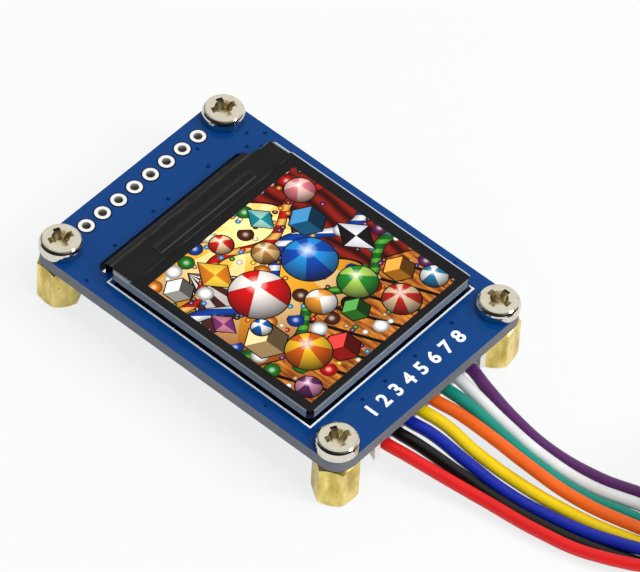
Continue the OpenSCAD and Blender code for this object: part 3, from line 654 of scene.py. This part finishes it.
def above(tree, value, limit):
    return reckoned(tree, "GREATER_THAN", value, limit)


def below(tree, value, limit):
    return reckoned(tree, "LESS_THAN", value, limit)


def striped(tree, du, dv, count, turn=0):
    """0 or 1 in turn round a point."""
    angle = reckoned(tree, "ADD", reckoned(tree, "ARCTAN2", dv, du), turn)
    return above(tree, wave(tree, angle, count), 0)


def outlined(tree, picture, measure, limit, line, fill):
    """The picture with a shape on it, where measure is below limit, and a dark line round it."""
    picture = mixed(tree, below(tree, measure, limit + line), picture, OUTLINE)
    return mixed(tree, below(tree, measure, limit), picture, fill)


# A sunburst in cream and yellow, which goes to orange and brown away from its middle
du, dv = away_from(tree, u, v, (1.5, 9.0))
spread = hypotenuse(tree, du, dv)
picture = mixed(tree, striped(tree, du, dv, 11, 0.2), (0.78, 0.58, 0.25), (0.74, 0.38, 0.03))
picture = mixed(tree, ramped(tree, spread, 1.0, 6.0, 1, 0), picture, (0.88, 0.72, 0.32))
picture = mixed(tree, ramped(tree, spread, 7.0, 17.0, 0, 0.9), picture, (0.22, 0.035, 0.006))

# Folded hangings to the right
fold = wave(tree, u, 3.4, wave(tree, v, 0.7))
hanging = mixed(tree, ramped(tree, fold, -1, 1), (0.030, 0.003, 0.003), (0.24, 0.016, 0.008))
swag = reckoned(tree, "ADD", u, reckoned(tree, "MULTIPLY", wave(tree, v, 0.55), 1.6))
picture = mixed(tree, above(tree, swag, 4.6), picture, OUTLINE)
picture = mixed(tree, above(tree, swag, 4.9), picture, hanging)

# Planks along the near side
grain = noise(tree, stretched(tree, canvas, (1, 0.15, 1)), 2.2, 4)
boards = mixed(tree, ramped(tree, grain, 0.35, 0.65), (0.16, 0.035, 0.005), (0.58, 0.22, 0.035))
joint = wave(tree, u, 2.1, reckoned(tree, "MULTIPLY", v, 0.9))
boards = mixed(tree, above(tree, joint, 0.88), boards, OUTLINE)
skyline = reckoned(tree, "ADD", v, reckoned(tree, "MULTIPLY", wave(tree, u, 0.6), 0.9))
picture = outlined(tree, picture, skyline, -5.0, 0.2, boards)

# A striped tent, with its point up and a scalloped hem
du, dv = away_from(tree, u, v, (-7.4, 9.5))
slope = reckoned(tree, "ADD", reckoned(tree, "ABSOLUTE", reckoned(tree, "MULTIPLY", du, 1.25)), dv)
hem = reckoned(tree, "ADD", dv, reckoned(tree, "ABSOLUTE", wave(tree, du, 1.3)))
cloth = mixed(tree, striped(tree, du, dv, 17), (0.62, 0.58, 0.54), (0.035, 0.014, 0.012))
cloth = mixed(tree, ramped(tree, dv, -9.0, 0.0, 0.6, 0.0), cloth, (0.10, 0.03, 0.02))
for line, fill in ((0.3, OUTLINE), (0.0, cloth)):
    in_hem = above(tree, hem, -6.4 - line * 2 / 3)
    tent = reckoned(tree, "MULTIPLY", below(tree, slope, line), in_hem)
    picture = mixed(tree, tent, picture, fill)

# Ribbons: [height, swing, waves, turn, half width, colour, second colour, stripes per mm]
RIBBONS = [
    (3.2, 1.9, 0.42, 0.4, 0.75, (0.004, 0.055, 0.30), (0.70, 0.70, 0.70), 2.6),
    (-3.6, 1.3, 0.55, 2.0, 0.60, (0.012, 0.13, 0.02), (0.10, 0.36, 0.04), 3.4),
    (7.6, 1.2, 0.50, 3.6, 0.50, (0.48, 0.012, 0.010), (0.72, 0.42, 0.10), 2.2),
]
for height, swing, waves, turn, width, colour, second, stripes in RIBBONS:
    swung = reckoned(tree, "MULTIPLY", wave(tree, u, waves, turn), swing)
    middle = reckoned(tree, "ADD", swung, height)
    across = reckoned(tree, "ABSOLUTE", reckoned(tree, "SUBTRACT", v, middle))
    bars = above(tree, wave(tree, reckoned(tree, "ADD", u, v), stripes), 0.2)
    silk = mixed(tree, bars, colour, second)
    silk = mixed(tree, ramped(tree, across, 0.0, width, 0, 0.55), silk, OUTLINE)
    picture = outlined(tree, picture, across, width, 0.12, silk)

# A crowd of beads, each cell of the pattern with its own colour out of the paint box
PAINTS = [(0.50, 0.010, 0.008), (0.72, 0.62, 0.42), (0.006, 0.06, 0.30), (0.62, 0.20, 0.010),
          (0.02, 0.20, 0.02), (0.10, 0.028, 0.010), (0.76, 0.48, 0.02), (0.80, 0.80, 0.78),
          (0.010, 0.009, 0.010), (0.04, 0.28, 0.50), (0.46, 0.26, 0.11), (0.14, 0.02, 0.10)]


def beads(tree, picture, scale, size, left_out):
    """The picture with beads on it; left_out is the share of the cells that have none."""
    cell = tree.nodes.new("ShaderNodeTexVoronoi")
    cell.voronoi_dimensions = "2D"
    cell.inputs["Scale"].default_value = scale
    cell.inputs["Randomness"].default_value = 0.85
    tree.links.new(canvas, cell.inputs["Vector"])
    chance = tree.nodes.new("ShaderNodeSeparateColor")
    tree.links.new(cell.outputs["Color"], chance.inputs["Color"])
    paint = tree.nodes.new("ShaderNodeValToRGB")
    paint.color_ramp.interpolation = "CONSTANT"
    stops = paint.color_ramp.elements
    for k, colour in enumerate(PAINTS):
        stop = stops[k] if k < 2 else stops.new(k / len(PAINTS))
        stop.position = k / len(PAINTS)
        stop.color = (*colour, 1)
    tree.links.new(chance.outputs["Red"], paint.inputs["Fac"])
    away = cell.outputs["Distance"]
    bead = mixed(tree, ramped(tree, away, size * 0.3, size, 0, 0.8), paint.outputs["Color"],
                 OUTLINE)
    bead = mixed(tree, ramped(tree, away, 0.0, size * 0.42, 0.5, 0), bead, (0.9, 0.88, 0.82))
    there = reckoned(tree, "MULTIPLY", above(tree, chance.outputs["Green"], left_out),
                     below(tree, away, size))
    return mixed(tree, there, picture, bead)


picture = beads(tree, picture, 1.0, 0.34, 0.72)
picture = beads(tree, picture, 0.42, 0.40, 0.60)

# Toy blocks, seen from a corner as a hexagon of three faces: [middle, half width, colour]
BLOCKS = [
    ((-8.6, -2.6), 2.07, (0.62, 0.42, 0.20)), ((6.9, 5.4), 1.8, (0.02, 0.17, 0.34)),
    ((-3.6, -9.0), 1.71, (0.46, 0.016, 0.012)), ((8.6, -6.2), 1.53, (0.60, 0.24, 0.02)),
    ((-9.8, 8.8), 1.44, (0.55, 0.52, 0.48)), ((1.2, -6.6), 1.35, (0.05, 0.24, 0.03)),
]
COS_60 = 0.5
SIN_60 = 0.866
QUARTER_TURN = 1.571
SIXTH_TURN = 1.05
for middle, size, colour in BLOCKS:
    du, dv = away_from(tree, u, v, middle)
    across = reckoned(tree, "MULTIPLY", du, COS_60)
    along = reckoned(tree, "MULTIPLY", dv, SIN_60)
    hexagon = reckoned(tree, "ABSOLUTE", du)
    for operation in ("ADD", "SUBTRACT"):
        side = reckoned(tree, "ABSOLUTE", reckoned(tree, operation, across, along))
        hexagon = reckoned(tree, "MAXIMUM", hexagon, side)
    from_top = reckoned(tree, "ABSOLUTE", reckoned(
        tree, "SUBTRACT", reckoned(tree, "ARCTAN2", dv, du), QUARTER_TURN))
    lid = tuple(min(0.9, c * 1.35 + 0.04) for c in colour)
    dark, darker = (tuple(c * share for c in colour) for share in (0.45, 0.16))
    face = mixed(tree, above(tree, du, 0), dark, darker)
    face = mixed(tree, above(tree, from_top, SIXTH_TURN), lid, face)
    picture = outlined(tree, picture, hexagon, size, 0.14, face)

# Kites: [middle, half height, colour, second colour]
KITES = [
    ((8.9, 0.2), 2.6, (0.010, 0.009, 0.012), (0.72, 0.72, 0.74)),
    ((-5.6, 7.4), 2.5, (0.62, 0.20, 0.015), (0.80, 0.55, 0.06)),
    ((3.6, 9.2), 1.9, (0.012, 0.24, 0.28), (0.30, 0.55, 0.50)),
    ((-10.0, 2.2), 1.7, (0.20, 0.035, 0.17), (0.50, 0.20, 0.26)),
]
for middle, size, colour, second in KITES:
    du, dv = away_from(tree, u, v, middle)
    diamond = reckoned(tree, "ADD", reckoned(tree, "MULTIPLY", reckoned(
        tree, "ABSOLUTE", du), 1.35), reckoned(tree, "ABSOLUTE", dv))
    quarters = above(tree, reckoned(tree, "MULTIPLY", du, dv), 0)
    cloth = mixed(tree, quarters, colour, second)
    cloth = mixed(tree, ramped(tree, diamond, 0.0, size, 0.0, 0.35), cloth, OUTLINE)
    picture = outlined(tree, picture, diamond, size, 0.2, cloth)

# Balls, each lit from above: [middle, radius, colour, stripe, stripes round, turn]
BALLS = [
    ((-4.4, 2.2), 3.3, (0.55, 0.008, 0.008), (0.70, 0.66, 0.62), 3, 0.5),
    ((3.0, 1.6), 3.0, (0.006, 0.07, 0.36), (0.02, 0.24, 0.55), 4, 0.1),
    ((-6.6, -6.8), 2.5, (0.66, 0.40, 0.02), (0.50, 0.10, 0.008), 4, 0.3),
    ((4.2, -4.2), 2.2, (0.02, 0.22, 0.03), (0.34, 0.50, 0.10), 3, 0.9),
    ((5.6, -9.2), 2.1, (0.55, 0.40, 0.26), (0.40, 0.020, 0.014), 5, 0.2),
    ((-0.6, -3.2), 1.7, (0.72, 0.70, 0.66), (0.62, 0.26, 0.03), 2, 0.7),
    ((9.6, 8.9), 1.7, (0.56, 0.16, 0.20), (0.70, 0.44, 0.38), 3, 0.4),
    ((0.4, 5.6), 1.5, (0.34, 0.17, 0.05), (0.62, 0.42, 0.19), 4, 0.2),
    ((-7.6, -1.0), 1.1, (0.006, 0.10, 0.34), (0.70, 0.70, 0.68), 3, 0.2),
    ((10.4, -9.6), 1.5, (0.02, 0.16, 0.28), (0.60, 0.60, 0.58), 3, 0.0),
    ((-10.2, -10.0), 1.4, (0.10, 0.02, 0.10), (0.45, 0.20, 0.30), 3, 0.0),
    ((-2.0, 9.8), 1.3, (0.50, 0.014, 0.012), (0.70, 0.50, 0.30), 3, 0.6),
]
for middle, size, colour, stripe, count, turn in BALLS:
    du, dv = away_from(tree, u, v, middle)
    from_middle = hypotenuse(tree, du, dv)
    du, dv = away_from(tree, du, dv, (size * 0.25, size * 0.35))
    from_light = hypotenuse(tree, du, dv)
    ball = mixed(tree, striped(tree, du, dv, count, turn), colour, stripe)
    ball = mixed(tree, below(tree, from_light, size * 0.16), ball, stripe)
    ball = mixed(tree, ramped(tree, from_light, size * 0.4, size * 1.4, 0, 0.85), ball, OUTLINE)
    ball = mixed(tree, ramped(tree, from_light, 0.0, size * 0.4, 0.55, 0), ball, GLEAM)
    picture = outlined(tree, picture, from_middle, size, 0.14, ball)

contrast = tree.nodes.new("ShaderNodeGamma")
contrast.inputs["Gamma"].default_value = 1.12
tree.links.new(picture, contrast.inputs["Color"])
picture = contrast.outputs["Color"]
border = mixed(tree, noise(tree, place, 200), (0.0094, 0.0091, 0.0096), (0.0108, 0.0105, 0.0111))
x = axes(tree, place)[0]
# Painted highlight: the film's border is painted pale along the far long edge
border = mixed(tree, ramped(tree, x, FAR_FILM_X, FAR_FILM_X + 0.00002), border, PAINTED_FAR_HIGHLIGHT)
from_middle = reckoned(tree, "MAXIMUM", reckoned(tree, "ABSOLUTE", u),
                       reckoned(tree, "ABSOLUTE", v))
lit = below(tree, from_middle, PICTURE_HALF * MM_A_METRE)
coloured(tree, shader, lit, border, picture)
tree.links.new(mixed(tree, lit, (0.0, 0.0, 0.0), picture), shader.inputs["Emission Color"])
shader.inputs["Emission Strength"].default_value = 0.47
dress(screen, "front_polariser", "picture_cell")


# ---- Shield tape, driver chip and flex ----
# Thin black tape lies over the chip and the flex, with painted highlights along its folds and
# the chip's edges, and painted shade past its crest. The flex is a polyimide strip under black
# cover film.
CREST_Y = 0.01305
CHIP_X = 0.0075
CHIP_Y = (0.01028, 0.01112)
TAPE_FOOT_Y = 0.00938


# Marks a line where a highlight is painted
def highlight_line(tree, value, middle, half, soft=0.00008):
    """1 along a line, falling to 0 on both sides of it."""
    away = reckoned(tree, "ABSOLUTE", reckoned(tree, "SUBTRACT", value, middle))
    return ramped(tree, away, half, half + soft, 1, 0)


painted_light, tree, shader, place = new_finish("creased tape", specular=0.14)
x, y = axes(tree, place)[:2]
from_side = reckoned(tree, "ABSOLUTE", x)
grain = noise(tree, place, 1800)
streak = ramped(tree, noise(tree, stretched(tree, place, (1, 8, 1)), 420), 0.35, 0.65)
tape = mixed(tree, grain, (0.0040, 0.0040, 0.0045), (0.0085, 0.0085, 0.0085))
# Painted shade: past the crest, where the tape drops into the slot, it is painted darker
painted_shade_past_crest = ramped(tree, y, CREST_Y + 0.0002, CREST_Y + 0.0007)
tape = mixed(tree, painted_shade_past_crest, tape, (0.0016, 0.0016, 0.002))
along_chip = ramped(tree, from_side, CHIP_X, CHIP_X + 0.0002, 1, 0)
across_chip = inside(tree, x, y, -CHIP_X - 0.0002, CHIP_X + 0.0002, *CHIP_Y, 0.0001)
# Painted highlights along the folds and the chip's edges: [where it shines, the line itself, its
# colour]
PAINTED_HIGHLIGHTS = [
    (along_chip, highlight_line(tree, y, CHIP_Y[0] - 0.00006, 0.00004), (0.050, 0.050, 0.050)),
    (along_chip, highlight_line(tree, y, CHIP_Y[1] + 0.00010, 0.00003), (0.017, 0.017, 0.016)),
    (across_chip, highlight_line(tree, from_side, CHIP_X + 0.0001, 0.00005), (0.022, 0.022, 0.022)),
    (streak, highlight_line(tree, y, CREST_Y - 0.0001, 0.00006, 0.00022), (0.050, 0.044, 0.038)),
    (streak, highlight_line(tree, y, TAPE_FOOT_Y, 0.00004), (0.045, 0.046, 0.046)),
]
for where, line, highlight_colour in PAINTED_HIGHLIGHTS:
    tape = mixed(tree, reckoned(tree, "MULTIPLY", where, line), tape, highlight_colour)
tree.links.new(tape, shader.inputs["Base Color"])
polished(tree, shader, grain, 0.26, 0.42)
roughen(tree, shader, grain, 0.12, 0.00004)
dress(painted_light, "shield_tape")

silicon, tree, shader, place = new_finish("driver chip", 0.2)
brushed = noise(tree, stretched(tree, place, (0.2, 3, 1)), 1500)
coloured(tree, shader, brushed, (0.02, 0.02, 0.024), (0.05, 0.05, 0.055))
dress(silicon, "driver_chip")

cover_film, tree, shader, place = new_finish("cover film", 0.34)
tracks = noise(tree, stretched(tree, place, (1, 0.04, 1)), 2600, 2)
coloured(tree, shader, ramped(tree, tracks, 0.45, 0.55), (0.009, 0.006, 0.005),
         (0.018, 0.012, 0.009))
roughen(tree, shader, tracks, 0.15, 0.00004)
dress(cover_film, "flex_tail")


# ---- Wire connector ----
# A side-entry header in off-white nylon, soldered under the near edge, and the plug in it,
# with tinned contacts. The moulded faces are slightly matt.
nylon, tree, shader, place = new_finish("ivory nylon", 0.42)
coloured(tree, shader, noise(tree, place, 350, 4), (0.84, 0.82, 0.77), (0.91, 0.89, 0.85))
shader.inputs["Subsurface Weight"].default_value = 0.15
shader.inputs["Subsurface Radius"].default_value = (0.0008, 0.0006, 0.0004)
roughen(tree, shader, noise(tree, place, 2400), 0.12, 0.00004)
dress(nylon, "header_housing", "plug_housing")

tinned, tree, shader, place = new_finish("tinned bronze", metallic=1.0)
wear = noise(tree, place, 1700, 4)
coloured(tree, shader, wear, (0.58, 0.54, 0.46), (0.82, 0.80, 0.75))
polished(tree, shader, wear, 0.2, 0.4)
dress(tinned, "header_pins", "header_tabs", "plug_contacts", "socket_contacts")


# ---- Parts under the board ----
# A regulator and a transistor in black moulding compound, and small chip parts: resistors
# with black faces, and capacitors of tan ceramic.
compound, tree, shader, place = new_finish("moulding compound", 0.6)
coloured(tree, shader, noise(tree, place, 4200, 2), (0.010, 0.010, 0.011), (0.026, 0.026, 0.028))
roughen(tree, shader, noise(tree, place, 4200), 0.2, 0.00004)
dress(compound, "regulator", "transistor", "resistors")

ceramic, tree, shader, place = new_finish("tan ceramic", 0.5)
coloured(tree, shader, noise(tree, place, 1600), (0.36, 0.22, 0.10), (0.50, 0.34, 0.18))
dress(ceramic, "capacitors")


# ---- Single sockets ----
# Each wire ends in its own black socket, with its box contact inside, open at both ends.
# The sockets lie side by side behind the coil.
socket_black, tree, shader, place = new_finish("black moulding", 0.45)
coloured(tree, shader, noise(tree, place, 700), (0.009, 0.009, 0.010), (0.018, 0.018, 0.019))
roughen(tree, shader, noise(tree, place, 3200), 0.15, 0.00004)
dress(socket_black, *(f"socket_{i + 1}" for i in range(PADS)))


# ---- Floor and light ----
# A plain white table in an evenly lit room, with a large softbox in front. A small one beside
# it shows as a spark in gloss and metal.
bpy.ops.mesh.primitive_plane_add(size=6, location=(0, 0, 0))
floor = bpy.context.object
floor.name = "floor"
table = bpy.data.materials.new("white table")
table.use_nodes = True
tree = table.node_tree
shader = tree.nodes["Principled BSDF"]
shader.inputs["Base Color"].default_value = (0.86, 0.87, 0.87, 1)
shader.inputs["Roughness"].default_value = 0.9
glow = tree.nodes.new("ShaderNodeEmission")
glow.inputs["Color"].default_value = (0.985, 1.0, 1.0, 1)
glow.inputs["Strength"].default_value = 1.0
ray = tree.nodes.new("ShaderNodeLightPath")
glow_share = reckoned(
    tree, "MAXIMUM", reckoned(tree, "MULTIPLY", ray.outputs["Is Camera Ray"], 0.78),
    reckoned(tree, "MULTIPLY", ray.outputs["Is Glossy Ray"], 0.45))
blend = tree.nodes.new("ShaderNodeMixShader")
tree.links.new(glow_share, blend.inputs[0])
tree.links.new(shader.outputs[0], blend.inputs[1])
tree.links.new(glow.outputs[0], blend.inputs[2])
tree.links.new(blend.outputs[0], tree.nodes["Material Output"].inputs["Surface"])
floor.data.materials.append(table)

# The room lights matt faces evenly. In metal and gloss it is bright overhead and behind, and
# dim low down on one side.
DIM_SIDE = (-0.82, -0.36, 0.0)
world = bpy.data.worlds.new("studio")
bpy.context.scene.world = world
world.use_nodes = True
tree = world.node_tree
room = tree.nodes["Background"]
direction = tree.nodes.new("ShaderNodeTexCoord").outputs["Generated"]
towards_dim = tree.nodes.new("ShaderNodeVectorMath")
towards_dim.operation = "DOT_PRODUCT"
towards_dim.inputs[1].default_value = DIM_SIDE
tree.links.new(direction, towards_dim.inputs[0])
level = reckoned(tree, "SUBTRACT", axes(tree, direction)[2], towards_dim.outputs["Value"])
mirrored = mixed(tree, ramped(tree, level, 0.3, 1.0), (0.015, 0.015, 0.017), (0.95, 0.945, 0.90))
ray = tree.nodes.new("ShaderNodeLightPath")
tree.links.new(mixed(tree, ray.outputs["Is Glossy Ray"], (0.60, 0.61, 0.62), mirrored),
               room.inputs["Color"])
room.inputs["Strength"].default_value = 1.0

# Softboxes: [name, place, side, watts, whether it shows in gloss]
SOFTBOXES = [
    ("main softbox", Vector((0.02, -0.28, 0.55)), 0.30, 1.6, False),
    ("near softbox", Vector((0.20, -0.44, 0.40)), 0.12, 0.9, True),
]
LIT_SPOT = Vector((0, 0, 0.008))
for name, spot, side, watts, shows in SOFTBOXES:
    bpy.ops.object.light_add(type="AREA", location=spot,
                             rotation=(LIT_SPOT - spot).to_track_quat("-Z", "Y").to_euler())
    lamp = bpy.context.object
    lamp.name = name
    lamp.data.shape = "SQUARE"
    lamp.data.size = side
    lamp.data.energy = watts
    lamp.visible_glossy = shows
